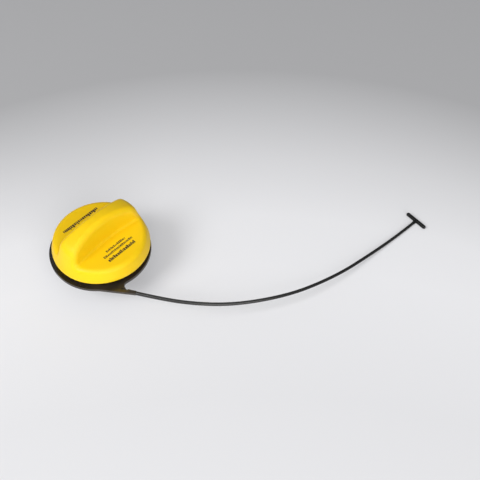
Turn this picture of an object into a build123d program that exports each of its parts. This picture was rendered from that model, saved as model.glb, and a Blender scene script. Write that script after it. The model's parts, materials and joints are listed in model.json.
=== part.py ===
from build123d import *
import math
import os

# Fuel filler cap: a threaded stem with a vent valve inside, a hand knob that drives it through
# a torque-limiting ratchet, and a moulded tether whose ring lies loose in the neck groove.
# Frame: millimetres, Z up along the cap's axis, origin at the centre of the stem's end face.

# ---- clearances and fits ----
running_gap = 0.3          # between turning pieces, radial
fixed_gap = 0.05           # between pieces that are pressed together, radial
slide_gap = 0.3            # round the sliding valve pieces, radial

# ---- threaded stem, flange and neck (closure body) ----
stem_radius = 20.0
pilot_step = 0.4           # plain lead-in below the thread, in from the stem
pilot_height = 3.0
stem_wall = 2.8
stem_height = 18.5
stem_bore_chamfer = 0.6
thread_depth = 2.2
thread_pitch = 5.0
thread_height = 8.0
thread_start = 4.6
thread_root_width = 2.8
thread_crest_width = 1.2
thread_sink = 0.6          # thread profile sunk into the stem
flange_set_in = 3.0        # flange's rim inside the knob's
flange_thickness = 3.5
flange_edge_round = 1.0
neck_wall = 2.8
groove_height = 8.4
land_step = 1.6            # land, out from the neck
deck_overhang = 2.2        # deck, out from the land
land_height = 2.8
deck_set_in = 0.8          # deck's rim inside the drive ring's
deck_thickness = 1.8

# ---- torque-limiting ratchet ----
tooth_count = 24
tooth_height = 1.2
tooth_width = 6.2
tooth_set_in = 1.3         # teeth's inner ends, out from the drive ring's hole
tooth_length = 5.6
tooth_root_gap = 0.1
tooth_back_gap = 0.25
drive_ring_width = 8.4
drive_ring_outer_radius = 33.0
drive_ring_thickness = 1.6
ear_count = 6
ear_length = 2.2           # ears, out from the drive ring's rim
ear_width = 6.0
ear_side_gap = 0.25
ear_turn = 30.0            # first ear from the grip bar's direction, degrees
guide_rib_thickness = 1.6
guide_rib_gap = 0.4        # guide ribs off the drive ring's rim
wave_spring_height = 2.2
wave_spring_thickness = 0.5
wave_spring_set_in = 2.5   # washer's rim inside the drive ring's
wave_spring_width = 4.0
wave_count = 4
wave_samples = 12          # spline points to a wave
wave_seat_gap = 0.02       # under and over the wave washer's crests

# ---- knob ----
grip_angle = 48.0          # direction of the grip bar in plan
knob_side = 4.8            # skirt's thickness and lean, outside the ears' tips
rim_band = 3.0             # height of the upright band at the rim
rim_round = 0.8
skirt_depth = 3.2          # rim below the closure's deck
skirt_draft = 15.5         # degrees
shell_wall = 2.4
bar_height = 21.8          # crown of the grip bar above the pocket floors
bar_waist = 14.0           # width of the bar at its middle, at the floor
bar_side_radius = 171.0    # plan radius of the hollow sides
bar_side_draft = 0.8       # degrees
bar_crown_radius = 67.0    # the bar's top is crowned along its length
bar_end_round = 11.0       # roll of the bar's ends into its top
bar_foot_round = 1.6
edge_round = 4.6           # shoulder, bar corners and bar top, one running edge
bar_rib_thickness = 1.6
bar_rib_spacing = 13.0
bar_rib_count = 3
bar_rib_clear = 3.0        # underside of the bar's ribs above the ceiling

# ---- knob retainer ----
retainer_thickness = 2.2
retainer_bead = 0.5        # snap bead in the skirt that holds the retainer up
retainer_wall = 2.6        # skirt wall beside the retainer
retainer_pocket_rise = 0.3 # pocket beside the retainer, above its top
retainer_slot_count = 12
retainer_slot_width = 2.0
retainer_slot_depth = 3.2

# ---- main seal ----
seal_outer_radius = 31.0
seal_thickness = 3.0
seal_round = 0.8

# ---- vent valve cartridge ----
housing_recess = 0.8       # cartridge end above the stem end
housing_height = 19.7
housing_wall = 2.65
housing_floor_height = 2.2
housing_floor_thickness = 2.0
inlet_radius = 9.0
skirt_slot_count = 4       # slots in the cartridge's end skirt
skirt_slot_width = 6.0
seat_bead_height = 1.0
seat_bead_width = 1.2
oring_section = 2.4
oring_height = 16.2        # O-ring centre above the stem end
oring_groove_width = 3.0
cover_thickness = 1.5
cover_spigot_depth = 1.5
vent_radius = 1.6
vent_circle_radius = 6.4
vent_count = 6

# ---- pressure relief valve ----
seal_disc_radius = 11.8
seal_disc_thickness = 1.2
seal_disc_hole_radius = 3.4
plate_thickness = 1.4
plate_hub_radius = 4.0
plate_hub_height = 1.9
plate_notch_radius = 2.4
plate_notch_count = 6
pressure_spring_radius = 10.5
pressure_spring_wire = 1.1
pressure_spring_turns = 4.0

# ---- vacuum relief valve ----
vacuum_head_radius = 6.2
vacuum_head_thickness = 1.4
vacuum_stem_radius = 1.5
vacuum_stem_length = 10.6
vacuum_spring_radius = 5.0
vacuum_spring_wire = 0.7
vacuum_spring_turns = 5.0
vacuum_spring_height = 7.0
clip_radius = 5.9
clip_thickness = 0.8
clip_slot_width = 1.2

# ---- tether ----
tether_ring_outer_radius = 41.4
tether_ring_slack = 3.0      # the loose ring's hole, out from the neck
tether_ring_thickness = 2.4
tether_ring_edge_round = 0.5
tether_shift = (-2.2, 1.3)   # the loose ring lies off the cap's axis
tether_root_angle = -45.0    # direction of the root from the ring's centre
tether_ring_stretch = 1.2    # the rim is drawn out towards the root
root_heel_angle = -98.0      # where the root's long edge leaves the rim
root_back_angle = -72.07     # where the root's other edge runs in under the rim
root_back_sink = 1.45        # that edge's end, inside the rim
notch_round = 4.2
root_slot_length = 5.4       # shallow slot in the root, beside the notch
root_slot_width = 1.8
root_slot_depth = 1.2
root_slot_place = (21.6, -40.3)
root_slot_angle = -9.0
strap_diameter = 2.7
strap_arc_share = 0.45       # of the shorter run beside each bend
toggle_length = 22.0
toggle_diameter = 3.4
toggle_reach = 4.2           # from the strap's end to the toggle's axis
toggle_turn = -4.0           # toggle off square to the strap, degrees

# Route of the strap: from the root of the ring, down to the table and along it to the toggle.
strap_route = [
    (31.0, -43.7, 23.2),
    (46.7, -47.9, 23.1),
    (69.9, -52.2, 22.2),
    (97.4, -52.9, 20.3),
    (122.8, -48.6, 17.9),
    (151.8, -38.9, 14.4),
    (174.9, -26.6, 11.1),
    (199.3, -10.0, 7.4),
    (220.2, 7.8, 4.3),
    (238.7, 23.8, 2.1),
    (254.8, 37.9, 1.7),
    (265.3, 47.6, 1.7),
]

# ---- radii that follow from the sizes above ----
pilot_radius = stem_radius - pilot_step
stem_bore_radius = stem_radius - stem_wall
housing_radius = stem_bore_radius - fixed_gap
housing_bore_radius = housing_radius - housing_wall
drive_ring_inner_radius = drive_ring_outer_radius - drive_ring_width
tooth_inner_radius = drive_ring_inner_radius + tooth_set_in
wave_spring_outer_radius = drive_ring_outer_radius - wave_spring_set_in
wave_spring_inner_radius = wave_spring_outer_radius - wave_spring_width
deck_radius = drive_ring_outer_radius - deck_set_in
land_radius = deck_radius - deck_overhang
neck_radius = land_radius - land_step
ear_radius = drive_ring_outer_radius + ear_length
rim_radius = ear_radius + knob_side
flange_radius = rim_radius - flange_set_in
tether_ring_inner_radius = neck_radius + tether_ring_slack

# ---- heights that follow from the sizes above ----
flange_top = stem_height + flange_thickness
deck_underside = flange_top + groove_height + land_height
deck_top = deck_underside + deck_thickness
drive_ring_underside = deck_top + tooth_height + tooth_root_gap
drive_ring_top = drive_ring_underside + drive_ring_thickness
ceiling = drive_ring_top + wave_spring_height
pocket_floor = ceiling + shell_wall
bar_top = pocket_floor + bar_height
rim_bottom = deck_underside - skirt_depth
band_top = rim_bottom + rim_band
guide_rib_bottom = deck_top
retainer_underside = deck_underside - retainer_thickness
housing_top = housing_recess + housing_height
seat_height = housing_recess + housing_floor_height + housing_floor_thickness + seat_bead_height
plate_underside = seat_height + seal_disc_thickness
plate_top = plate_underside + plate_thickness
spring_ceiling = housing_top - cover_spigot_depth
clip_underside = plate_top + vacuum_spring_height


os.makedirs("parts", exist_ok=True)


def skirt_radius(height):
    """Outer radius of the knob's drafted side at a height."""
    return rim_radius - (height - band_top) * math.tan(math.radians(skirt_draft))


def on_circle(radius, angle):
    """A point of a circle about the axis, at an angle in degrees."""
    turn = math.radians(angle)
    return (radius * math.cos(turn), radius * math.sin(turn))


def grip_plane(height):
    """A level plane with its x along the grip bar."""
    along = on_circle(1.0, grip_angle)
    return Plane(origin=(0, 0, height), x_dir=(along[0], along[1], 0), z_dir=(0, 0, 1))


def ring_sketch(height, outer_radius, inner_radius):
    """A flat ring about the axis."""
    with BuildSketch(Plane.XY.offset(height)) as flat_ring:
        Circle(outer_radius)
        Circle(inner_radius, mode=Mode.SUBTRACT)
    return flat_ring.sketch


def radial_planes(count, radius, height, first_angle=0.0):
    """Planes that face outwards round the axis, x along the turning direction and y up."""
    planes = []
    for index in range(count):
        angle = first_angle + 360.0 * index / count
        outward = on_circle(1.0, angle)
        foot = on_circle(radius, angle)
        planes.append(
            Plane(
                origin=(foot[0], foot[1], height),
                x_dir=(-outward[1], outward[0], 0),
                z_dir=(outward[0], outward[1], 0),
            )
        )
    return planes


def dome_profile(wall):
    """Half section of the knob's outer form with no pockets, set in by a wall, above the rim."""
    draft = math.radians(skirt_draft)
    side = rim_radius * math.cos(draft) + band_top * math.sin(draft)
    crown_height = bar_top - bar_crown_radius
    centre_reach = bar_crown_radius - bar_end_round
    lean = math.asin((side - bar_end_round - crown_height * math.sin(draft)) / centre_reach) - draft
    roll_centre = (centre_reach * math.sin(lean), crown_height + centre_reach * math.cos(lean))
    crown = bar_crown_radius - wall
    roll = bar_end_round - wall

    def roll_point(rise):
        return (roll_centre[0] + roll * math.cos(rise), roll_centre[1] + roll * math.sin(rise))

    top = (0, crown_height + crown)
    crown_middle = (crown * math.sin(lean / 2), crown_height + crown * math.cos(lean / 2))
    roll_top = math.pi / 2 - lean
    band_corner = (rim_radius - wall / math.cos(draft), band_top)
    with BuildSketch(Plane.XZ) as section:
        with BuildLine():
            Polyline(top, (0, rim_bottom), (band_corner[0], rim_bottom), band_corner, roll_point(draft))
            ThreePointArc(roll_point(draft), roll_point((draft + roll_top) / 2), roll_point(roll_top))
            ThreePointArc(roll_point(roll_top), crown_middle, top)
        make_face()
    return section.sketch


def waisted_half_width(half_width, reach):
    """Half width of the waisted bar at a distance along it from its middle."""
    return half_width + bar_side_radius - math.sqrt(bar_side_radius**2 - reach**2)


def pocket_sketch(height, half_width):
    """Plan of the two pockets: all that lies outside the bar's two hollow sides."""
    reach = rim_radius
    edge = waisted_half_width(half_width, reach)
    with BuildSketch(grip_plane(height)) as pockets:
        with BuildLine():
            ThreePointArc((reach, edge), (0, half_width), (-reach, edge))
            Polyline((-reach, edge), (-reach, edge + reach), (reach, edge + reach), (reach, edge))
        make_face()
        mirror(about=Plane.XZ)
    return pockets.sketch


def waisted_sketch(height, half_width):
    """Plan of the waisted bar, longer than the knob."""
    reach = rim_radius
    edge = waisted_half_width(half_width, reach)
    with BuildSketch(grip_plane(height)) as waist:
        with BuildLine():
            ThreePointArc((-reach, -edge), (0, -half_width), (reach, -edge))
            Line((reach, -edge), (reach, edge))
            ThreePointArc((reach, edge), (0, half_width), (-reach, edge))
            Line((-reach, edge), (-reach, -edge))
        make_face()
    return waist.sketch


def wave_edge(radius):
    """Underside edge of the wave washer at a radius: its height is a cosine of the turn."""
    rise = (wave_spring_height - wave_spring_thickness) / 2 - wave_seat_gap
    low = drive_ring_top + wave_seat_gap
    count = wave_samples * wave_count
    points = []
    for index in range(count):
        turn = 360.0 * index / count
        lift = rise * (1 - math.cos(math.radians(wave_count * turn)))
        place = on_circle(radius, grip_angle + turn)
        points.append((place[0], place[1], low + lift))
    return Spline(*points, periodic=True, mode=Mode.PRIVATE)


def coil_spring(mean_radius, wire, bottom, top, turns):
    """A coil spring with its ends ground flat at the two heights."""
    pitch = (top - bottom) / turns
    coil = Helix(pitch, top - bottom, mean_radius, center=(0, 0, bottom), mode=Mode.PRIVATE)
    with BuildSketch(Plane(origin=coil @ 0, z_dir=coil % 0)) as wire_section:
        Circle(wire / 2)
    sweep(wire_section.sketch, path=coil, is_frenet=True)
    split(bisect_by=Plane.XY.offset(bottom), keep=Keep.TOP)
    split(bisect_by=Plane.XY.offset(top), keep=Keep.BOTTOM)


# ---- closure body ----
with BuildPart() as closure_body:
    with BuildSketch(Plane.XZ):
        with BuildLine():
            Polyline(
                (stem_bore_radius, stem_bore_chamfer),
                (stem_bore_radius + stem_bore_chamfer, 0),
                (pilot_radius, 0),
                (pilot_radius, pilot_height),
                (stem_radius, pilot_height),
                (stem_radius, stem_height),
                (flange_radius, stem_height),
                (flange_radius, flange_top),
                (neck_radius, flange_top),
                (neck_radius, flange_top + groove_height),
                (land_radius, flange_top + groove_height),
                (land_radius, deck_underside),
                (deck_radius, deck_underside),
                (deck_radius, deck_top),
                (neck_radius - neck_wall, deck_top),
                (neck_radius - neck_wall, flange_top),
                (stem_bore_radius, flange_top),
                close=True,
            )
        make_face()
    revolve(axis=Axis.Z)
    flange_rims = closure_body.edges().filter_by(GeomType.CIRCLE).filter_by(
        lambda edge: abs(edge.radius - flange_radius) < running_gap
    )
    fillet(flange_rims, radius=flange_edge_round)
    # Coarse right-hand thread.
    with BuildLine():
        thread_line = Helix(
            thread_pitch, thread_height, stem_radius, center=(0, 0, thread_start)
        )
    with BuildSketch(Plane(origin=thread_line @ 0, x_dir=(1, 0, 0), z_dir=thread_line % 0)):
        with BuildLine():
            Polyline(
                (-thread_sink, -thread_root_width / 2),
                (thread_depth, -thread_crest_width / 2),
                (thread_depth, thread_crest_width / 2),
                (-thread_sink, thread_root_width / 2),
                close=True,
            )
        make_face()
    sweep(path=thread_line, is_frenet=True)
    # Ratchet teeth: a steep face that carries the knob when loosening, a ramp the other way.
    with BuildSketch(*radial_planes(tooth_count, tooth_inner_radius, deck_top)):
        with BuildLine():
            Polyline((0, 0), (0, tooth_height), (tooth_width, 0), close=True)
        make_face()
    extrude(amount=tooth_length)
closure_body.part.label = "closure_body"
export_step(closure_body.part, "parts/closure_body.step")

# ---- main seal: a gasket round the stem, under the flange ----
with BuildPart() as main_seal:
    extrude(
        ring_sketch(stem_height - seal_thickness, seal_outer_radius, stem_radius + fixed_gap),
        amount=seal_thickness,
    )
    seal_rims = main_seal.edges().filter_by(GeomType.CIRCLE).group_by(SortBy.RADIUS)[-1]
    fillet(seal_rims.sort_by(Axis.Z)[0], radius=seal_round)
main_seal.part.label = "main_seal"
export_step(main_seal.part, "parts/main_seal.step")

# ---- hollow of the grip bar, open at its foot and crossed by stiffening ribs ----
with BuildPart() as bar_hollow:
    revolve(dome_profile(shell_wall), axis=Axis.Z)
    extrude(
        waisted_sketch(ceiling, bar_waist / 2 - shell_wall),
        amount=2 * bar_height,
        taper=bar_side_draft,
        mode=Mode.INTERSECT,
    )
    with BuildSketch(grip_plane(ceiling + bar_rib_clear)):
        with GridLocations(bar_rib_spacing, 0, bar_rib_count, 1):
            Rectangle(bar_rib_thickness, 2 * rim_radius)
    extrude(amount=bar_height, mode=Mode.SUBTRACT)

# ---- knob shell ----
with BuildPart() as knob_shell:
    revolve(dome_profile(0.0), axis=Axis.Z)
    extrude(
        pocket_sketch(pocket_floor, bar_waist / 2),
        amount=2 * bar_height,
        taper=-bar_side_draft,
        mode=Mode.SUBTRACT,
    )
    floor_edges = knob_shell.edges().filter_by_position(
        Axis.Z, pocket_floor - running_gap, pocket_floor + running_gap
    )
    fillet(
        floor_edges.filter_by(lambda edge: math.hypot(*tuple(edge @ 0.5)[:2]) < rim_radius / 2),
        radius=bar_foot_round,
    )
    # The shoulder, the bar's corners and its top edges are one running edge.
    shoulder_edges = knob_shell.edges().filter_by_position(
        Axis.Z, pocket_floor - running_gap, pocket_floor + running_gap
    )
    fillet(
        shoulder_edges.filter_by(lambda edge: math.hypot(*tuple(edge @ 0.5)[:2]) > rim_radius / 2),
        radius=edge_round,
    )
    rim_edges = knob_shell.edges().filter_by(GeomType.CIRCLE).group_by(Axis.Z)[0]
    fillet(rim_edges, radius=rim_round)
    # Cavity over the ratchet, with a bead and a pocket for the retainer.
    with BuildSketch(Plane.XZ):
        with BuildLine():
            pocket_radius = rim_radius - retainer_wall
            pocket_top = deck_underside + retainer_pocket_rise
            Polyline(
                (0, rim_bottom),
                (pocket_radius - retainer_bead, rim_bottom),
                (pocket_radius - retainer_bead, retainer_underside),
                (pocket_radius, retainer_underside),
                (pocket_radius, pocket_top),
                (skirt_radius(ceiling) - shell_wall, ceiling),
                (0, ceiling),
                close=True,
            )
        make_face()
    revolve(axis=Axis.Z, mode=Mode.SUBTRACT)
    add(bar_hollow.part, mode=Mode.SUBTRACT)
    # Pairs of ribs that take the drive ring's ears between them.
    rib_offset = ear_width / 2 + ear_side_gap + guide_rib_thickness / 2
    rib_foot = drive_ring_outer_radius + guide_rib_gap
    rib_length = skirt_radius(ceiling) - shell_wall / 2 - rib_foot
    rib_height = ceiling + shell_wall / 2 - guide_rib_bottom
    rib_middle = guide_rib_bottom + rib_height / 2
    with BuildSketch(*radial_planes(ear_count, rib_foot, rib_middle, grip_angle + ear_turn)):
        with GridLocations(2 * rib_offset, 0, 2, 1):
            Rectangle(guide_rib_thickness, rib_height)
    extrude(amount=rib_length)
knob_shell.part.label = "knob_shell"
export_step(knob_shell.part, "parts/knob_shell.step")

# ---- retainer ring: snaps in behind the skirt's bead and runs under the deck ----
with BuildPart() as retainer_ring:
    extrude(
        ring_sketch(
            retainer_underside,
            rim_radius - retainer_wall - fixed_gap,
            land_radius + running_gap,
        ),
        amount=retainer_thickness,
    )
    slot_middle = retainer_underside + retainer_thickness / 2
    with BuildSketch(*radial_planes(retainer_slot_count, neck_radius, slot_middle, grip_angle)):
        Rectangle(retainer_slot_width, 2 * retainer_thickness)
    slot_reach = land_radius + running_gap + retainer_slot_depth - neck_radius
    extrude(amount=slot_reach, mode=Mode.SUBTRACT)
retainer_ring.part.label = "retainer_ring"
export_step(retainer_ring.part, "parts/retainer_ring.step")

# ---- drive ring: teeth below, ears outside ----
with BuildPart() as drive_ring:
    extrude(
        ring_sketch(drive_ring_underside, drive_ring_outer_radius, drive_ring_inner_radius),
        amount=drive_ring_thickness,
    )
    with BuildSketch(*radial_planes(tooth_count, tooth_inner_radius, drive_ring_underside)):
        with BuildLine():
            Polyline(
                (-tooth_back_gap, 0),
                (-tooth_back_gap, -tooth_height),
                (-tooth_back_gap - tooth_width, 0),
                close=True,
            )
        make_face()
    extrude(amount=tooth_length)
    ear_middle = drive_ring_underside + drive_ring_thickness / 2
    ear_planes = radial_planes(
        ear_count, drive_ring_inner_radius + tooth_root_gap, ear_middle, grip_angle + ear_turn
    )
    with BuildSketch(*ear_planes):
        Rectangle(ear_width, drive_ring_thickness)
    extrude(amount=ear_radius - drive_ring_inner_radius - tooth_root_gap)
drive_ring.part.label = "drive_ring"
export_step(drive_ring.part, "parts/drive_ring.step")

# ---- wave washer between the drive ring and the knob ----
with BuildPart() as wave_spring:
    inner_wave = wave_edge(wave_spring_inner_radius)
    outer_wave = wave_edge(wave_spring_outer_radius)
    strip = Face.make_surface_from_curves(inner_wave.edge(), outer_wave.edge())
    extrude(strip, amount=wave_spring_thickness, dir=(0, 0, 1))
wave_spring.part.label = "wave_spring"
export_step(wave_spring.part, "parts/wave_spring.step")

# ---- valve cartridge housing ----
with BuildPart() as valve_housing:
    floor_bottom = housing_recess + housing_floor_height
    floor_top = floor_bottom + housing_floor_thickness
    groove_low = oring_height - oring_groove_width / 2
    groove_high = oring_height + oring_groove_width / 2
    groove_radius = stem_bore_radius - oring_section
    with BuildSketch(Plane.XZ):
        with BuildLine():
            Polyline(
                (inlet_radius, floor_bottom),
                (housing_bore_radius, floor_bottom),
                (housing_bore_radius, housing_recess),
                (housing_radius, housing_recess),
                (housing_radius, groove_low),
                (groove_radius, groove_low),
                (groove_radius, groove_high),
                (housing_radius, groove_high),
                (housing_radius, housing_top),
                (housing_bore_radius, housing_top),
                (housing_bore_radius, floor_top),
                (inlet_radius + seat_bead_width, floor_top),
                (inlet_radius + seat_bead_width / 2, seat_height),
                (inlet_radius, floor_top),
                close=True,
            )
        make_face()
    revolve(axis=Axis.Z)
    skirt_middle = housing_recess + housing_floor_height / 2
    with BuildSketch(*radial_planes(skirt_slot_count, inlet_radius, skirt_middle)):
        Rectangle(skirt_slot_width, housing_floor_height)
    extrude(amount=housing_radius, mode=Mode.SUBTRACT)
valve_housing.part.label = "valve_housing"
export_step(valve_housing.part, "parts/valve_housing.step")

# ---- O-ring between the cartridge and the stem ----
with BuildPart() as housing_seal:
    with BuildSketch(Plane.XZ):
        with Locations((stem_bore_radius - oring_section / 2, oring_height)):
            Circle(oring_section / 2 - fixed_gap / 2)
    revolve(axis=Axis.Z)
housing_seal.part.label = "housing_seal"
export_step(housing_seal.part, "parts/housing_seal.step")

# ---- cartridge cover: vent holes and the pressure spring's seat ----
with BuildPart() as valve_cover:
    extrude(
        ring_sketch(housing_top, housing_radius, vent_radius),
        amount=cover_thickness,
    )
    extrude(
        ring_sketch(spring_ceiling, housing_bore_radius - fixed_gap, vent_radius),
        amount=cover_spigot_depth,
    )
    with BuildSketch(Plane.XY.offset(spring_ceiling)):
        with PolarLocations(vent_circle_radius, vent_count):
            Circle(vent_radius)
    extrude(amount=cover_spigot_depth + cover_thickness, mode=Mode.SUBTRACT)
valve_cover.part.label = "valve_cover"
export_step(valve_cover.part, "parts/valve_cover.step")

# ---- pressure relief valve: sealing disc, guided plate and spring ----
with BuildPart() as pressure_seal:
    extrude(
        ring_sketch(seat_height, seal_disc_radius, seal_disc_hole_radius),
        amount=seal_disc_thickness,
    )
pressure_seal.part.label = "pressure_seal"
export_step(pressure_seal.part, "parts/pressure_seal.step")

with BuildPart() as pressure_plate:
    plate_bore = vacuum_stem_radius + slide_gap
    extrude(
        ring_sketch(plate_underside, housing_bore_radius - slide_gap, plate_bore),
        amount=plate_thickness,
    )
    extrude(ring_sketch(plate_top, plate_hub_radius, plate_bore), amount=plate_hub_height)
    with BuildSketch(Plane.XY.offset(plate_underside)):
        with PolarLocations(housing_bore_radius, plate_notch_count):
            Circle(plate_notch_radius)
    extrude(amount=plate_thickness, mode=Mode.SUBTRACT)
pressure_plate.part.label = "pressure_plate"
export_step(pressure_plate.part, "parts/pressure_plate.step")

with BuildPart() as pressure_spring:
    coil_spring(
        pressure_spring_radius, pressure_spring_wire, plate_top, spring_ceiling, pressure_spring_turns
    )
pressure_spring.part.label = "pressure_spring"
export_step(pressure_spring.part, "parts/pressure_spring.step")

# ---- vacuum relief valve: mushroom, spring and push-on clip ----
with BuildPart() as vacuum_valve:
    with BuildSketch(Plane.XY.offset(seat_height - vacuum_head_thickness)):
        Circle(vacuum_head_radius)
    extrude(amount=vacuum_head_thickness)
    with BuildSketch(Plane.XY.offset(seat_height)):
        Circle(vacuum_stem_radius)
    extrude(amount=vacuum_stem_length)
    head_rims = vacuum_valve.edges().filter_by(GeomType.CIRCLE).sort_by(Axis.Z)
    chamfer(head_rims[0], length=vacuum_head_thickness / 3)
vacuum_valve.part.label = "vacuum_valve"
export_step(vacuum_valve.part, "parts/vacuum_valve.step")

with BuildPart() as vacuum_spring:
    coil_spring(
        vacuum_spring_radius, vacuum_spring_wire, plate_top, clip_underside, vacuum_spring_turns
    )
vacuum_spring.part.label = "vacuum_spring"
export_step(vacuum_spring.part, "parts/vacuum_spring.step")

with BuildPart() as vacuum_clip:
    extrude(
        ring_sketch(clip_underside, clip_radius, vacuum_stem_radius + fixed_gap),
        amount=clip_thickness,
    )
    with BuildSketch(Plane.XY.offset(clip_underside)):
        with Locations((clip_radius / 2, 0)):
            Rectangle(clip_radius, clip_slot_width)
    extrude(amount=clip_thickness, mode=Mode.SUBTRACT)
vacuum_clip.part.label = "vacuum_clip"
export_step(vacuum_clip.part, "parts/vacuum_clip.step")

# ---- tether ring with its tapered root ----
strap_start = Vector(*strap_route[0])
strap_heading = (Vector(*strap_route[1]) - strap_start).normalized()
level_heading = Vector(strap_heading.X, strap_heading.Y, 0).normalized()
strap_side = Vector(-level_heading.Y, level_heading.X, 0)
with BuildPart() as tether_ring:
    root_end = Vector(strap_start.X, strap_start.Y, 0)
    near_corner = root_end - strap_side * (strap_diameter / 2)
    far_corner = root_end + strap_side * (strap_diameter / 2)
    heel = Vector(*tether_shift) + Vector(*on_circle(tether_ring_outer_radius, root_heel_angle))
    back_radius = tether_ring_outer_radius - root_back_sink
    far_back = Vector(*tether_shift) + Vector(*on_circle(back_radius, root_back_angle))
    drawn_out = on_circle(tether_ring_stretch / 2, tether_root_angle)
    with BuildSketch(Plane.XY.offset(flange_top)):
        with Locations((tether_shift[0] + drawn_out[0], tether_shift[1] + drawn_out[1])):
            SlotCenterToCenter(
                tether_ring_stretch, 2 * tether_ring_outer_radius, rotation=tether_root_angle
            )
        with BuildLine():
            Polyline(
                tuple(tether_shift),
                (heel.X, heel.Y),
                (near_corner.X, near_corner.Y),
                (far_corner.X, far_corner.Y),
                (far_back.X, far_back.Y),
                close=True,
            )
        make_face()
    extrude(amount=tether_ring_thickness)
    notch_edge = tether_ring.edges().filter_by(Axis.Z).sort_by_distance(
        Vertex(far_back.X, far_back.Y, flange_top)
    )[0]
    fillet(notch_edge, radius=notch_round)
    with BuildSketch(Plane.XY.offset(flange_top)):
        with Locations(tether_shift):
            Circle(tether_ring_inner_radius)
    extrude(amount=tether_ring_thickness, mode=Mode.SUBTRACT)
    with BuildSketch(Plane.XY.offset(flange_top + tether_ring_thickness)):
        with Locations(Location((*root_slot_place, 0), (0, 0, root_slot_angle))):
            SlotOverall(root_slot_length, root_slot_width)
    extrude(amount=-root_slot_depth, mode=Mode.SUBTRACT)
    rim_faces = tether_ring.faces().filter_by(GeomType.CYLINDER).sort_by(SortBy.AREA)
    fillet(rim_faces[-1].edges().filter_by(GeomType.CIRCLE), radius=tether_ring_edge_round)
tether_ring.part.label = "tether_ring"
export_step(tether_ring.part, "parts/tether_ring.step")

# ---- tether strap: a round cord along straight runs joined by tangent arcs ----
runs = []
for first, second in zip(strap_route, strap_route[1:]):
    runs.append(Vector(*second) - Vector(*first))
bend_radii = []
for before, after in zip(runs, runs[1:]):
    half_turn = math.radians(before.get_angle(after)) / 2
    shorter = min(before.length, after.length)
    bend_radii.append(strap_arc_share * shorter / math.tan(half_turn))
with BuildPart() as tether_strap:
    with BuildLine():
        strap_line = FilletPolyline(*strap_route, radius=bend_radii)
    with BuildSketch(Plane(origin=strap_line @ 0, z_dir=strap_line % 0)):
        Circle(strap_diameter / 2)
    sweep(path=strap_line)
tether_strap.part.label = "tether_strap"
export_step(tether_strap.part, "parts/tether_strap.step")

# ---- toggle at the strap's end: a short stub and a round-ended cross bar ----
strap_end = Vector(*strap_route[-1])
end_heading = runs[-1].normalized()
bar_centre = strap_end + end_heading * toggle_reach
with BuildPart() as tether_toggle:
    with BuildSketch(Plane(origin=strap_end, z_dir=end_heading)):
        Circle(strap_diameter / 2)
    with BuildSketch(Plane(origin=bar_centre, z_dir=end_heading)):
        Circle(toggle_diameter / 2)
    loft()
    level_end = Vector(end_heading.X, end_heading.Y, 0).rotate(Axis.Z, 90 + toggle_turn)
    half_bar = toggle_length / 2 - toggle_diameter / 2
    bar_start = bar_centre - level_end * half_bar
    with BuildSketch(Plane(origin=bar_start, z_dir=level_end)):
        Circle(toggle_diameter / 2)
    extrude(amount=2 * half_bar)
    with Locations(bar_start, bar_centre + level_end * half_bar):
        Sphere(toggle_diameter / 2)
tether_toggle.part.label = "tether_toggle"
export_step(tether_toggle.part, "parts/tether_toggle.step")

section = math.pi * strap_diameter**2 / 4
print("strap length", round(strap_line.length, 1))
print("strap bend radii", [round(radius, 1) for radius in bend_radii])
print("strap volume over section times length", tether_strap.part.volume / section / strap_line.length)
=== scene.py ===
import json
import math

import bpy
import numpy as np
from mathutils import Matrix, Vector


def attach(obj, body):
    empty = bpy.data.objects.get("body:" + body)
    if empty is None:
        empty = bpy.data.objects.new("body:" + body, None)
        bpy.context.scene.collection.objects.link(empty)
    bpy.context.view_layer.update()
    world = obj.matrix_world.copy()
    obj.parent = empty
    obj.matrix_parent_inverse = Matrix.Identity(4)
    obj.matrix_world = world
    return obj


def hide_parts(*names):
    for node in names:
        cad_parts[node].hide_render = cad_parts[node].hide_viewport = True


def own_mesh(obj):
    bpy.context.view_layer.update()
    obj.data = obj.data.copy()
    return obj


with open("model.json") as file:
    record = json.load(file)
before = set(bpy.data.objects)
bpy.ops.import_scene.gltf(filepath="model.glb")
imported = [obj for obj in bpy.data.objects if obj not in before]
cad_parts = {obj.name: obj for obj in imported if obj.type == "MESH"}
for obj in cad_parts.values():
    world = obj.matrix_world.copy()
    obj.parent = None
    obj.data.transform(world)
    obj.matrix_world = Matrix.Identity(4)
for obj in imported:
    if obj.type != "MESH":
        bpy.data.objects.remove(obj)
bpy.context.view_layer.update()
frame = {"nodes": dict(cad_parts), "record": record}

MM = 0.001

# ---- sizes that the dressed pieces share with the construction, in metres ----
KNOB_GRIP_ANGLE = math.radians(48.0)
KNOB_RIM_RADIUS = 40.0 * MM
KNOB_RIM_BOTTOM = 30.0 * MM
KNOB_BAND_HEIGHT = 3.0 * MM
KNOB_RIM_ROUND = 0.8 * MM
KNOB_DRAFT = math.radians(15.5)
KNOB_FLOOR = 42.5 * MM
BAR_TOP = 64.3 * MM
BAR_CROWN_RADIUS = 67.0 * MM
BAR_END_ROUND = 11.0 * MM
BAR_HALF_WAIST = 7.0 * MM
BAR_SIDE_RADIUS = 171.0 * MM
BAR_SIDE_DRAFT = math.radians(0.8)
BAR_FOOT_ROUND = 2.4 * MM
EDGE_ROUND = 4.6 * MM
SHOULDER_BLEND = 12.0 * MM       # over which the edge round passes from the floor to the bar

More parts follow.
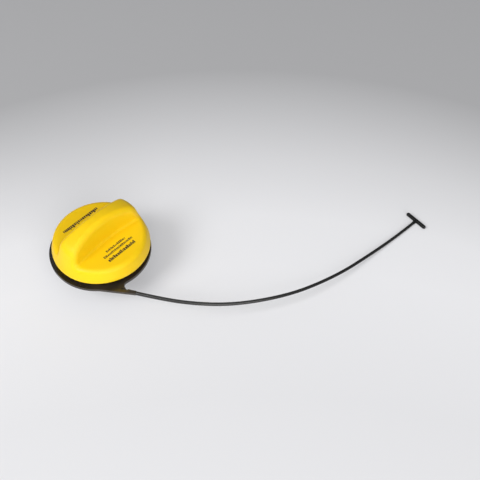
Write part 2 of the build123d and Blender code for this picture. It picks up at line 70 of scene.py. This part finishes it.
SKIN_COUNT = 281                 # points along each side of the knob's grid
SKIN_CENTRE = 33.0 * MM          # height that the grid's rays start from
SKIN_FALL = math.radians(94.6)   # turn of the outermost rays from the vertical
SKIN_NEAREST = 10.0 * MM         # along a ray, a length that is inside the knob
SKIN_FARTHEST = 60.0 * MM        # and one that is outside it
SKIN_HALVINGS = 26
CREASE_ANGLE = math.radians(40.0)   # an edge that turns by more is left sharp

# Rows of printed bars: distance across the grip bar (signed), middle along it, length, height,
# mean bar width, mean gap and the seed of the row's spacing.
PRINT_ROWS = [
    (23.0 * MM, -0.2 * MM, 35.0 * MM, 3.3 * MM, 1.15 * MM, 0.4 * MM, 3),
    (-25.2 * MM, 1.0 * MM, 28.0 * MM, 3.2 * MM, 1.15 * MM, 0.34 * MM, 5),
    (-20.5 * MM, 1.4 * MM, 30.0 * MM, 2.2 * MM, 0.75 * MM, 0.38 * MM, 7),
    (-17.0 * MM, 1.6 * MM, 19.5 * MM, 2.1 * MM, 0.75 * MM, 0.38 * MM, 9),
]
PRINT_WIDTHS = (0.55, 1.5)       # least and most of a bar's width, as shares of the row's mean
PRINT_HEIGHTS = [0.72, 0.8, 1.0]    # a bar's height, as shares of the row's
PRINT_GAPS = (0.7, 1.4)          # least and most of a gap, as shares of the row's mean
INK_DEPTH = 0.03 * MM            # of the ink's top and underside from the floor

# Inside of the knob below the ceiling, as radius and height: bead, retainer pocket, cavity.
CAVITY_PROFILE = [
    (36.9 * MM, 30.0 * MM),
    (36.9 * MM, 31.0 * MM),
    (37.4 * MM, 31.0 * MM),
    (37.4 * MM, 33.5 * MM),
    (35.6 * MM, 40.1 * MM),
]

# Coil springs: mean radius, wire diameter, heights of the lower and upper seat, turns.
COILS = {
    "pressure_coil": (10.5 * MM, 1.1 * MM, 8.6 * MM, 19.0 * MM, 4.0),
    "vacuum_coil": (5.0 * MM, 0.7 * MM, 8.6 * MM, 15.6 * MM, 5.0),
}
COIL_STEPS = 48                  # to a turn
COIL_SIDES = 12                  # round the wire
# Wave washer: inner and outer radius, thickness, lowest height, half the wave's height, waves.
WAVE_WASHER = (26.5 * MM, 30.5 * MM, 0.5 * MM, 37.92 * MM, 0.83 * MM, 4)
WAVE_STEPS = 192                 # round the washer
# For each spring: the solid it stands for, its body, the joint that flattens it, the height of
# the seat that moves with it and the share of its height left at the end of the travel.
SPRING_TRAVEL = {
    "pressure_coil": ("pressure_spring", "pressure_valve", "pressure_lift", 8.6 * MM, 0.807),
    "vacuum_coil": ("vacuum_spring", "vacuum_valve", "vacuum_drop", 15.6 * MM, 0.785),
    "wave_washer": ("wave_spring", "drive", "click_lift", 37.92 * MM, 0.44),
}

TABLE_REACH = 3.0                # metres from the cap's axis to each edge
# Painted shade: the tabletop's tone falls off towards its back and both sides, as the lamps' light
# does.
TABLE_MIDDLE = 0.113             # the tabletop's tone is even along this line, front to back
TABLE_SIDE_FALL = 1.0            # how far each metre squared beside it counts towards the back
TABLE_SPAN = (-0.12, 0.26)       # from front to back, over which the tone falls off
TABLE_TONES = [                  # share of the span, tone
    (0.0, 0.79),
    (0.32, 0.86),
    (0.47, 0.845),
    (0.66, 0.725),
    (0.85, 0.57),
    (1.0, 0.45),
]
TABLE_TINT = (0.988, 0.988, 1.012)
TABLE_PAINTED_GLOW = 0.3                 # share of the tone that shows without any lamp

# Lamps: place and side of the square in metres, and watts.
LAMPS = {
    "key_lamp": ((-1.25, -1.0, 1.6), 1.0, 31.0),
    "front_lamp": ((0.75, -2.0, 0.96), 1.8, 31.0),
    "top_lamp": ((0.15, -1.6, 2.6), 3.2, 24.0),
}
LAMP_TARGET = (0.05, 0.0, 0.0)
SKY_COLOUR = (0.98, 0.99, 1.0)
SKY_STRENGTH = 0.22              # of its light on the cap
SKY_PALENESS = 0.15              # more of it where it is seen

CAMERA_PLACE = (0.11317, -0.4322, 0.5613)
CAMERA_DIP = math.radians(50.54)    # below the level
CAMERA_LENS = 62.85              # millimetres, on a sensor 36 mm wide

STRAP_DIAMETER = 2.7 * MM
# Thickness at each point of the route, as a share of that diameter.
STRAP_SWELL = [1.15, 1.15, 1.13, 1.1, 1.06, 1.03, 1.0, 1.0, 1.0, 0.98, 0.96, 0.96]
# The spline's control points, from the ring's root down to the table and along it.
STRAP_ROUTE = [
    (0.0310, -0.0437, 0.0232),
    (0.0467, -0.0479, 0.0231),
    (0.0699, -0.0522, 0.0222),
    (0.0974, -0.0529, 0.0203),
    (0.1228, -0.0486, 0.0179),
    (0.1518, -0.0389, 0.0144),
    (0.1749, -0.0266, 0.0111),
    (0.1993, -0.0100, 0.0074),
    (0.2202, 0.0078, 0.0043),
    (0.2387, 0.0238, 0.0021),
    (0.2548, 0.0379, 0.0017),
    (0.2653, 0.0476, 0.0017),
]
# Painted light and shade on the blacks along X: two places and the share of the colour at each.
# Strap: the full tone from 5 to 9 cm is a painted highlight; the darker root and far end are
# painted shade.
STRAP_PAINTED_LIGHT = [((0.09, 0.2), (1.0, 0.2)), ((0.03, 0.05), (0.6, 1.0))]
# Ring: darker towards its left end and lighter elsewhere, a painted reflection of the yellow knob.
RING_PAINTED_REFLECTION = ((-0.035, -0.005), (0.4, 1.3))


# ---------------------------------------------------------------- camera ----
def add_camera():
    """A camera above the front of the cap, looking down past it at the middle of the strap."""
    data = bpy.data.cameras.new("camera")
    data.sensor_width = 36.0
    data.lens = CAMERA_LENS
    data.clip_start = 0.01
    camera = bpy.data.objects.new("camera", data)
    camera.location = CAMERA_PLACE
    camera.rotation_euler = (math.pi / 2 - CAMERA_DIP, 0.0, 0.0)
    bpy.context.scene.collection.objects.link(camera)
    bpy.context.scene.camera = camera


# ----------------------------------------------------------------- strap ----
def add_strap():
    """A round cord along one open quadratic NURBS on the route's control points.

    The bevel is one metre deep, so that each point's own radius is the strap's in metres. It
    runs from a stouter start at the root to the thinner end at the toggle.
    """
    curve = bpy.data.curves.new("strap", "CURVE")
    curve.dimensions = "3D"
    curve.bevel_depth = 1.0
    curve.bevel_resolution = 5
    curve.use_fill_caps = True
    spline = curve.splines.new("NURBS")
    spline.points.add(len(STRAP_ROUTE) - 1)
    for index, place in enumerate(STRAP_ROUTE):
        spline.points[index].co = (*place, 1.0)
        spline.points[index].radius = STRAP_DIAMETER / 2 * STRAP_SWELL[index]
    spline.order_u = 3
    spline.use_endpoint_u = True
    spline.resolution_u = 12
    strap = bpy.data.objects.new("strap", curve)
    bpy.context.scene.collection.objects.link(strap)
    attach(strap, "tether")
    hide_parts("tether_strap")
    return strap


# ------------------------------------------------------------------ knob ----
def cut_round(first, second, radius, skew=0.0):
    """The larger of two fields, with a round of that radius where they meet.

    The fields are oblique coordinates across the edge, and skew is the cosine of the angle
    between their normals, so the round is a true arc about the line where both are -radius.
    """
    u = first + radius
    v = second + radius
    spread = np.maximum(u**2 + v**2 - 2 * u * v * skew, 0)
    arc = np.sqrt(spread / (1 - skew**2)) - radius
    return np.where((u > v * skew) & (v > u * skew), arc, np.maximum(first, second))


def knob_dome(radius, z):
    """A cone that rolls over an arc into a crowned top, above an upright band at the rim.

    The field is the distance past the cone, the arc or the crown's sphere, whichever faces the
    point. The arc touches the sphere where the sphere's normal leans by lean from the axis.
    """
    band_top = KNOB_RIM_BOTTOM + KNOB_BAND_HEIGHT
    cone_reach = KNOB_RIM_RADIUS * math.cos(KNOB_DRAFT) + band_top * math.sin(KNOB_DRAFT)
    crown_height = BAR_TOP - BAR_CROWN_RADIUS
    centre_reach = BAR_CROWN_RADIUS - BAR_END_ROUND
    rest = cone_reach - BAR_END_ROUND - crown_height * math.sin(KNOB_DRAFT)
    lean = math.asin(rest / centre_reach) - KNOB_DRAFT
    roll_radius = radius - centre_reach * math.sin(lean)
    roll_height = z - crown_height - centre_reach * math.cos(lean)
    rise = np.arctan2(roll_height, roll_radius)
    cone = radius * math.cos(KNOB_DRAFT) + z * math.sin(KNOB_DRAFT) - cone_reach
    roll = np.hypot(roll_radius, roll_height) - BAR_END_ROUND
    crown = np.hypot(radius, z - crown_height) - BAR_CROWN_RADIUS
    upper = np.where(rise < math.pi / 2 - lean, roll, crown)
    return np.maximum(np.where(rise > KNOB_DRAFT, upper, cone), radius - KNOB_RIM_RADIUS)


def knob_field(x, y, z):
    """Below zero inside the knob's outer form.

    That form is the dome, less all that lies above the floors and outside the grip bar's two
    hollow sides, which are arcs in plan. Its edges and the bar's foot are rounded.
    """
    along = x * math.cos(KNOB_GRIP_ANGLE) + y * math.sin(KNOB_GRIP_ANGLE)
    across = y * math.cos(KNOB_GRIP_ANGLE) - x * math.sin(KNOB_GRIP_ANGLE)
    side_sweep = np.sqrt(BAR_SIDE_RADIUS**2 - along**2)
    half_width = BAR_HALF_WAIST + BAR_SIDE_RADIUS - side_sweep
    rise = z - KNOB_FLOOR
    wall = (np.abs(across) - half_width) * math.cos(BAR_SIDE_DRAFT)
    wall = wall + rise * math.sin(BAR_SIDE_DRAFT)
    kept = -cut_round(-rise, -wall, BAR_FOOT_ROUND)
    by_floor = np.clip(0.5 + (wall - rise) / SHOULDER_BLEND, 0, 1)
    skew = math.sin(KNOB_DRAFT) * by_floor**2 * (3 - 2 * by_floor)
    shaped = cut_round(knob_dome(np.hypot(x, y), z), kept, EDGE_ROUND, skew)
    return cut_round(shaped, KNOB_RIM_BOTTOM - z, KNOB_RIM_ROUND)


def knob_skin():
    """Points of the outer skin: a square grid, laid over the knob as rays from a point inside it.

    The square is drawn out to a disc with u' = u sqrt(1 - v^2 / 2), and the disc's radius becomes
    the ray's turn from the vertical. Along each ray the field's zero is found by halving.
    """
    edge = np.linspace(-1, 1, SKIN_COUNT)
    u, v = np.meshgrid(edge, edge, indexing="ij")
    disc_u = u * np.sqrt(1 - v**2 / 2)
    disc_v = v * np.sqrt(1 - u**2 / 2)
    fall = np.hypot(disc_u, disc_v) * SKIN_FALL
    turn = np.arctan2(disc_v, disc_u) + KNOB_GRIP_ANGLE
    outward = np.sin(fall)
    rays = np.stack([outward * np.cos(turn), outward * np.sin(turn), np.cos(fall)], -1)
    near = np.full(u.shape, SKIN_NEAREST)
    far = np.full(u.shape, SKIN_FARTHEST)
    for _ in range(SKIN_HALVINGS):
        middle = (near + far) / 2
        x, y, z = np.moveaxis(rays * middle[..., None], -1, 0)
        inside = knob_field(x, y, z + SKIN_CENTRE) < 0
        near = np.where(inside, middle, near)
        far = np.where(inside, far, middle)
    skin = rays * near[..., None]
    skin[..., 2] += SKIN_CENTRE
    return skin


def grid_faces(rows, columns):
    """Quads of a grid whose points are numbered row by row."""
    corner = np.arange(rows * columns).reshape(rows, columns)[:-1, :-1].ravel()
    return np.stack([corner, corner + columns, corner + columns + 1, corner + 1], 1)


def loop_strip(first, second):
    """Quads between two closed loops of points, each given by its point numbers."""
    return np.stack([np.roll(first, -1), first, second, np.roll(second, -1)], 1)


def add_surface(name, points, faces):
    """A mesh object from an array of points and a list of arrays of faces."""
    mesh = bpy.data.meshes.new(name)
    face_list = [face for group in faces for face in group.tolist()]
    mesh.from_pydata(points.tolist(), [], face_list)
    mesh.update()
    mesh.shade_smooth()
    mesh.set_sharp_from_angle(angle=CREASE_ANGLE)
    piece = bpy.data.objects.new(name, mesh)
    bpy.context.scene.collection.objects.link(piece)
    return piece


def add_knob(finish):
    """The yellow shell: its outer skin, closed by the rings of the cavity's turned profile."""
    skin = knob_skin()
    number = np.arange(SKIN_COUNT**2).reshape(SKIN_COUNT, SKIN_COUNT)
    edges = [number[:-1, 0], number[-1, :-1], number[:0:-1, -1], number[0, :0:-1]]
    rim = np.concatenate(edges)
    points = [skin.reshape(-1, 3)]
    faces = [grid_faces(SKIN_COUNT, SKIN_COUNT)]
    place = points[0][rim]
    turn = np.arctan2(place[:, 1], place[:, 0])
    loop = rim
    start = SKIN_COUNT**2
    for radius, height in CAVITY_PROFILE:
        level = np.full(len(rim), height)
        next_loop = start + np.arange(len(rim))
        points.append(np.stack([radius * np.cos(turn), radius * np.sin(turn), level], 1))
        faces.append(loop_strip(loop, next_loop))
        loop = next_loop
        start += len(rim)
    points.append(np.array([[0.0, 0.0, CAVITY_PROFILE[-1][1]]]))
    faces.append(np.stack([np.roll(loop, -1), loop, np.full(len(loop), start)], 1))
    knob = add_surface("knob", np.concatenate(points), faces)
    knob.data.materials.append(finish)
    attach(knob, "knob")
    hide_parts("knob_shell")


# --------------------------------------------------------------- springs ----
def coil_surface(mean_radius, wire, bottom, top, turns):
    """Points and faces of a coil spring, closed at both ends.

    A circle is carried along a helix about the cap's axis, square to it. Heights are held
    between the two end planes, as the ends of a real coil are ground flat.
    """
    steps = round(COIL_STEPS * turns)
    share = np.linspace(0, 1, steps + 1)[:, None]
    turn = 2 * math.pi * turns * share
    climb = (top - bottom) / (2 * math.pi * turns)
    slope = math.atan2(climb, mean_radius)
    round_wire = np.arange(COIL_SIDES) * 2 * math.pi / COIL_SIDES
    out = wire / 2 * np.cos(round_wire)
    lean = wire / 2 * np.sin(round_wire)
    x = (mean_radius + out) * np.cos(turn) + lean * math.sin(slope) * np.sin(turn)
    y = (mean_radius + out) * np.sin(turn) - lean * math.sin(slope) * np.cos(turn)
    z = np.clip(bottom + climb * turn + lean * math.cos(slope), bottom, top)
    number = np.arange((steps + 1) * COIL_SIDES).reshape(steps + 1, COIL_SIDES)
    after = np.roll(number, -1, axis=1)
    sides = np.stack([number[:-1], number[1:], after[1:], after[:-1]], -1).reshape(-1, 4)
    middles = np.stack([x, y, z], -1)[[0, -1]].mean(1)
    points = np.concatenate([np.stack([x, y, z], -1).reshape(-1, 3), middles])
    first_end = np.stack([number[0], after[0], np.full(COIL_SIDES, number.size)], 1)
    last_end = np.stack([after[-1], number[-1], np.full(COIL_SIDES, number.size + 1)], 1)
    return points, [sides, first_end, last_end]


def wave_surface():
    """Points and faces of the wave washer: a flat strip whose height is a cosine of the turn."""
    inner, outer, thickness, low, rise, waves = WAVE_WASHER
    turn = np.arange(WAVE_STEPS) * 2 * math.pi / WAVE_STEPS
    height = low + rise * (1 - np.cos(waves * turn))
    place = turn + KNOB_GRIP_ANGLE
    corners = [(inner, 0.0), (outer, 0.0), (outer, thickness), (inner, thickness)]
    points = np.concatenate([
        np.stack([radius * np.cos(place), radius * np.sin(place), height + lift], 1)
        for radius, lift in corners
    ])
    loops = np.arange(4 * WAVE_STEPS).reshape(4, WAVE_STEPS)
    faces = [loop_strip(loops[(k + 1) % 4], loops[k]) for k in range(4)]
    return points, faces


def add_springs(finish):
    """The three springs, each attached to the body that carries it."""
    made = {name: coil_surface(*sizes) for name, sizes in COILS.items()}
    made["wave_washer"] = wave_surface()
    for name, (points, faces) in made.items():
        node, body, joint, anchor, keep = SPRING_TRAVEL[name]
        spring = add_surface(name, points, faces)
        spring.data.materials.append(finish)
        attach(spring, body)
        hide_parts(node)
        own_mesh(spring)


# ----------------------------------------------------------------- print ----
def add_print(finish):
    """Short bars printed on the two floors: one row on one side, three on the other.

    Each bar is a thin raised block; bars, gaps and heights vary about the row's own values.
    """
    blocks = []
    for across, middle, length, height, weight, gap, seed in PRINT_ROWS:
        choice = np.random.default_rng(seed)
        reach = -length / 2
        while reach < length / 2:
            width = weight * choice.uniform(*PRINT_WIDTHS)
            top = height * choice.choice(PRINT_HEIGHTS) - height / 2
            corners = [
                (reach, -height / 2),
                (reach + width, -height / 2),
                (reach + width, top),
                (reach, top),
            ]
            blocks.append([(middle + a, across - b * np.sign(across)) for a, b in corners])
            reach += width + gap * choice.uniform(*PRINT_GAPS)
    along, across = np.array(blocks).reshape(-1, 2).T
    x = along * math.cos(KNOB_GRIP_ANGLE) - across * math.sin(KNOB_GRIP_ANGLE)
    y = along * math.sin(KNOB_GRIP_ANGLE) + across * math.cos(KNOB_GRIP_ANGLE)
    count = len(x)
    low = np.stack([x, y, np.full(count, KNOB_FLOOR - INK_DEPTH)], 1)
    high = np.stack([x, y, np.full(count, KNOB_FLOOR + INK_DEPTH)], 1)
    corner = np.arange(count).reshape(-1, 4)
    after = np.roll(corner, -1, axis=1)
    sides = [
        np.stack([corner[:, k], after[:, k], after[:, k] + count, corner[:, k] + count], 1)
        for k in range(4)
    ]
    faces = [corner + count, corner[:, ::-1], *sides]
    ink = add_surface("print_marks", np.concatenate([low, high]), faces)
    ink.data.materials.append(finish)
    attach(ink, "knob")


# ------------------------------------------------------------- materials ----
def start_material(name, colour, roughness, metallic=0.0):
    """A principled material, its node tree and its shader."""
    material = bpy.data.materials.new(name)
    material.use_nodes = True
    tree = material.node_tree
    shader = tree.nodes["Principled BSDF"]
    shader.inputs["Base Color"].default_value = (*colour, 1.0)
    shader.inputs["Roughness"].default_value = roughness
    shader.inputs["Metallic"].default_value = metallic
    return material, tree, shader


def object_noise(tree, scale, detail, stretch=(1.0, 1.0, 1.0)):
    """Noise that is fixed to the piece, in cycles a metre."""
    place = tree.nodes.new("ShaderNodeTexCoord")
    mapping = tree.nodes.new("ShaderNodeMapping")
    mapping.inputs["Scale"].default_value = stretch
    noise = tree.nodes.new("ShaderNodeTexNoise")
    noise.inputs["Scale"].default_value = scale
    noise.inputs["Detail"].default_value = detail
    tree.links.new(place.outputs["Object"], mapping.inputs["Vector"])
    tree.links.new(mapping.outputs["Vector"], noise.inputs["Vector"])
    return noise


def value_node(tree, operation, first, second):
    """The output of a maths node on two values, each a socket or a number."""
    node = tree.nodes.new("ShaderNodeMath")
    node.operation = operation
    for socket, value in zip(node.inputs, (first, second)):
        if isinstance(value, bpy.types.NodeSocket):
            tree.links.new(value, socket)
        else:
            socket.default_value = value
    return node.outputs["Value"]


def vary_colour(tree, shader, noise, dark, light):
    """The base colour runs between two near tones with the noise."""
    ramp = tree.nodes.new("ShaderNodeValToRGB")
    ramp.color_ramp.elements[0].position = 0.3
    ramp.color_ramp.elements[1].position = 0.7
    ramp.color_ramp.elements[0].color = (*dark, 1.0)
    ramp.color_ramp.elements[1].color = (*light, 1.0)
    tree.links.new(noise.outputs["Fac"], ramp.inputs["Fac"])
    tree.links.new(ramp.outputs["Color"], shader.inputs["Base Color"])


def vary_roughness(tree, shader, noise, low, high):
    """The roughness runs between two values with the noise."""
    spread = tree.nodes.new("ShaderNodeMapRange")
    spread.inputs["From Min"].default_value = 0.3
    spread.inputs["From Max"].default_value = 0.7
    spread.inputs["To Min"].default_value = low
    spread.inputs["To Max"].default_value = high
    tree.links.new(noise.outputs["Fac"], spread.inputs["Value"])
    tree.links.new(spread.outputs["Result"], shader.inputs["Roughness"])


def grain(tree, shader, noise, strength, depth):
    """A fine bump from the noise."""
    bump = tree.nodes.new("ShaderNodeBump")
    bump.inputs["Strength"].default_value = strength
    bump.inputs["Distance"].default_value = depth
    tree.links.new(noise.outputs["Fac"], bump.inputs["Height"])
    tree.links.new(bump.outputs["Normal"], shader.inputs["Normal"])


def paint_light_along_x(material, places, shares):
    """Painted light and shade: the base colour is scaled by a share that runs between two values,
    from one X to another.
    """
    tree = material.node_tree
    shader = tree.nodes["Principled BSDF"]
    varied = shader.inputs["Base Color"].links[0].from_socket
    place = tree.nodes.new("ShaderNodeTexCoord")
    split = tree.nodes.new("ShaderNodeSeparateXYZ")
    share = tree.nodes.new("ShaderNodeMapRange")
    share.inputs["From Min"].default_value = places[0]
    share.inputs["From Max"].default_value = places[1]
    share.inputs["To Min"].default_value = shares[0]
    share.inputs["To Max"].default_value = shares[1]
    scaled = tree.nodes.new("ShaderNodeVectorMath")
    scaled.operation = "SCALE"
    tree.links.new(place.outputs["Object"], split.inputs["Vector"])
    tree.links.new(split.outputs["X"], share.inputs["Value"])
    tree.links.new(varied, scaled.inputs[0])
    tree.links.new(share.outputs["Result"], scaled.inputs["Scale"])
    tree.links.new(scaled.outputs["Vector"], shader.inputs["Base Color"])


def yellow_shell_finish():
    """Satin moulded yellow plastic: a hint of flow tone, slight translucency, fine grain."""
    material, tree, shader = start_material("yellow_shell", (0.912, 0.593, 0.005), 0.45)
    shader.inputs["Specular IOR Level"].default_value = 0.25
    shader.inputs["Subsurface Weight"].default_value = 0.12
    shader.inputs["Subsurface Radius"].default_value = (1.0, 0.6, 0.1)
    shader.inputs["Subsurface Scale"].default_value = 0.0015
    flow = object_noise(tree, 35.0, 2.0)
    vary_colour(tree, shader, flow, (0.9, 0.58, 0.004), (0.924, 0.606, 0.006))
    vary_roughness(tree, shader, object_noise(tree, 160.0, 3.0), 0.4, 0.5)
    grain(tree, shader, object_noise(tree, 2600.0, 2.0), 0.12, 0.00003)
    return material


def black_moulding_finish(name, dark, light, low, high, gloss=0.5):
    """Moulded black plastic: faint tone, uneven gloss and a fine grain."""
    material, tree, shader = start_material(name, light, high)
    shader.inputs["Specular IOR Level"].default_value = gloss
    vary_colour(tree, shader, object_noise(tree, 90.0, 3.0), dark, light)
    vary_roughness(tree, shader, object_noise(tree, 240.0, 3.0), low, high)
    grain(tree, shader, object_noise(tree, 2200.0, 2.0), 0.15, 0.00004)
    return material


def ink_finish():
    """Matt dark ink with thin spots."""
    material, tree, shader = start_material("mark_ink", (0.03, 0.018, 0.008), 0.6)
    spots = object_noise(tree, 900.0, 2.0)
    vary_colour(tree, shader, spots, (0.02, 0.012, 0.006), (0.06, 0.032, 0.01))
    grain(tree, shader, object_noise(tree, 3000.0, 2.0), 0.1, 0.00002)
    return material


def seal_rubber_finish():
    """Dull sealing rubber with a bloomed, powdery tone."""
    material, tree, shader = start_material("seal_rubber", (0.022, 0.022, 0.023), 0.7)
    bloom = object_noise(tree, 120.0, 4.0)
    vary_colour(tree, shader, bloom, (0.016, 0.016, 0.017), (0.035, 0.035, 0.036))
    vary_roughness(tree, shader, bloom, 0.62, 0.8)
    grain(tree, shader, object_noise(tree, 1800.0, 3.0), 0.25, 0.00005)
    return material


def acetal_finish():
    """Natural acetal: milky, slick and slightly translucent."""
    material, tree, shader = start_material("natural_acetal", (0.72, 0.69, 0.6), 0.35)
    shader.inputs["Subsurface Weight"].default_value = 0.2
    shader.inputs["Subsurface Radius"].default_value = (1.0, 0.9, 0.7)
    shader.inputs["Subsurface Scale"].default_value = 0.002
    flow = object_noise(tree, 110.0, 3.0)
    vary_colour(tree, shader, flow, (0.69, 0.66, 0.57), (0.75, 0.72, 0.63))
    grain(tree, shader, object_noise(tree, 2000.0, 2.0), 0.1, 0.00003)
    return material


def spring_wire_finish():
    """Bright drawn steel with fine lines round the cap's axis."""
    material, tree, shader = start_material("spring_wire", (0.56, 0.56, 0.57), 0.28, 1.0)
    drawn = object_noise(tree, 700.0, 3.0, (0.15, 0.15, 3.0))
    vary_colour(tree, shader, drawn, (0.48, 0.48, 0.49), (0.62, 0.62, 0.63))
    vary_roughness(tree, shader, drawn, 0.2, 0.36)
    grain(tree, shader, drawn, 0.1, 0.00002)
    return material


def seen_directly(tree):
    """One for rays that come straight from the eye, or from it over a mirror or through glass."""
    ray = tree.nodes.new("ShaderNodeLightPath")
    seen = ray.outputs["Is Camera Ray"]
    mirrored = ray.outputs["Is Glossy Ray"]
    through = ray.outputs["Is Transmission Ray"]
    return value_node(tree, "MAXIMUM", seen, value_node(tree, "MAXIMUM", mirrored, through))


def floor_finish():
    """A plain pale tabletop with painted shade: darker towards its far side and a little towards
    both ends.
    """
    material, tree, shader = start_material("table", (0.7, 0.7, 0.72), 0.6)
    shader.inputs["Specular IOR Level"].default_value = 0.1
    place = tree.nodes.new("ShaderNodeTexCoord")
    split = tree.nodes.new("ShaderNodeSeparateXYZ")
    tree.links.new(place.outputs["Object"], split.inputs["Vector"])
    offset = value_node(tree, "SUBTRACT", split.outputs["X"], TABLE_MIDDLE)
    squared = value_node(tree, "MULTIPLY", offset, offset)
    sideways = value_node(tree, "MULTIPLY", squared, TABLE_SIDE_FALL)
    depth = value_node(tree, "ADD", split.outputs["Y"], sideways)
    spread = tree.nodes.new("ShaderNodeMapRange")
    spread.inputs["From Min"].default_value = TABLE_SPAN[0]
    spread.inputs["From Max"].default_value = TABLE_SPAN[1]
    tree.links.new(depth, spread.inputs["Value"])
    ramp = tree.nodes.new("ShaderNodeValToRGB")
    stops = ramp.color_ramp.elements
    while len(stops) < len(TABLE_TONES):
        stops.new(0.5)
    for stop, (share, tone) in zip(stops, TABLE_TONES):
        stop.position = share
        stop.color = (*(tone * tint for tint in TABLE_TINT), 1.0)
    tree.links.new(spread.outputs["Result"], ramp.inputs["Fac"])
    tree.links.new(ramp.outputs["Color"], shader.inputs["Base Color"])
    # Painted light: part of the tone that the eye sees is a glow on the tabletop, so that shadows
    # stay light.
    glow = tree.nodes.new("ShaderNodeEmission")
    tree.links.new(ramp.outputs["Color"], glow.inputs["Color"])
    share = value_node(tree, "MULTIPLY", seen_directly(tree), TABLE_PAINTED_GLOW)
    blend = tree.nodes.new("ShaderNodeMixShader")
    tree.links.new(share, blend.inputs["Fac"])
    tree.links.new(shader.outputs["BSDF"], blend.inputs[1])
    tree.links.new(glow.outputs["Emission"], blend.inputs[2])
    tree.links.new(blend.outputs["Shader"], tree.nodes["Material Output"].inputs["Surface"])
    return material


# ------------------------------------------------------------- the stage ----
def add_floor():
    """A wide level tabletop under the cap."""
    corners = TABLE_REACH * np.array([(-1, -1, 0), (1, -1, 0), (1, 1, 0), (-1, 1, 0)])
    floor = add_surface("table", corners, [np.array([[0, 1, 2, 3]])])
    floor.data.materials.append(floor_finish())


def add_lamp(name, place, size, power):
    """A soft square lamp that faces the lamps' common target."""
    data = bpy.data.lights.new(name, "AREA")
    data.shape = "SQUARE"
    data.size = size
    data.energy = power
    lamp = bpy.data.objects.new(name, data)
    lamp.location = place
    aim = Vector(LAMP_TARGET) - Vector(place)
    lamp.rotation_euler = aim.to_track_quat("-Z", "Y").to_euler()
    bpy.context.scene.collection.objects.link(lamp)


def light_the_stage():
    """A broad lamp on the front left, two wider ones in front and above, and an even pale sky."""
    for name, (place, size, power) in LAMPS.items():
        add_lamp(name, place, size, power)
    world = bpy.data.worlds.new("pale_sky")
    world.use_nodes = True
    tree = world.node_tree
    sky = tree.nodes["Background"]
    sky.inputs["Color"].default_value = (*SKY_COLOUR, 1.0)
    extra = value_node(tree, "MULTIPLY", seen_directly(tree), SKY_PALENESS)
    strength = value_node(tree, "ADD", extra, SKY_STRENGTH)
    tree.links.new(strength, sky.inputs["Strength"])
    bpy.context.scene.world = world
    bpy.context.scene.view_settings.view_transform = "Standard"


# -------------------------------------------------------------- assembly ----
def tether_finishes():
    """The tether's blacks: glossy on the ring, satin on the strap and deepest on the toggle. The
    ring's brown tint is a painted reflection, the strap's tone along it is painted light and
    shade, and the toggle's depth is painted shade.
    """
    strap_black = black_moulding_finish(
        "strap_moulding", (0.018, 0.0175, 0.017), (0.032, 0.031, 0.029), 0.2, 0.3, 0.45
    )
    for places, shares in STRAP_PAINTED_LIGHT:
        paint_light_along_x(strap_black, places, shares)
    # Painted shade: the toggle is a deeper copy of the strap's black.
    toggle_shaded_black = black_moulding_finish(
        "toggle_moulding_painted_shade", (0.003, 0.003, 0.003), (0.006, 0.006, 0.006), 0.25, 0.35, 0.3
    )
    # Painted reflection: the ring's brown tint and its lighter front stand in for the yellow knob
    # mirrored in it.
    ring_reflection_black = black_moulding_finish(
        "ring_moulding_painted_reflection", (0.02, 0.015, 0.01), (0.032, 0.024, 0.015), 0.14, 0.2, 0.6
    )
    paint_light_along_x(ring_reflection_black, *RING_PAINTED_REFLECTION)
    return strap_black, toggle_shaded_black, ring_reflection_black


def finish_cad_nodes(yellow):
    """Each construction piece gets the finish of its material, or its own where it has one."""
    black = black_moulding_finish(
        "black_moulding", (0.018, 0.018, 0.019), (0.03, 0.03, 0.032), 0.32, 0.45
    )
    acetal = acetal_finish()
    rubber = seal_rubber_finish()
    wire = spring_wire_finish()
    strap_black, toggle_shaded_black, ring_reflection_black = tether_finishes()
    finishes = {
        "black_plastic": black,
        "knob_plastic": yellow,
        "natural_plastic": acetal,
        "seal_rubber": rubber,
        "spring_steel": wire,
        "tether_plastic": strap_black,
    }
    own = {"tether_ring": ring_reflection_black, "tether_toggle": toggle_shaded_black}
    slots = {part["node"]: part["material_slot"] for part in frame["record"]["subparts"]}
    for node, piece in frame["nodes"].items():
        piece.data.materials.clear()
        piece.data.materials.append(own.get(node, finishes[slots[node]]))
    return strap_black, wire


add_camera()
strap = add_strap()
yellow_shell = yellow_shell_finish()
strap_finish, wire_finish = finish_cad_nodes(yellow_shell)
strap.data.materials.append(strap_finish)
add_knob(yellow_shell)
add_print(ink_finish())
add_springs(wire_finish)
add_floor()
light_the_stage()
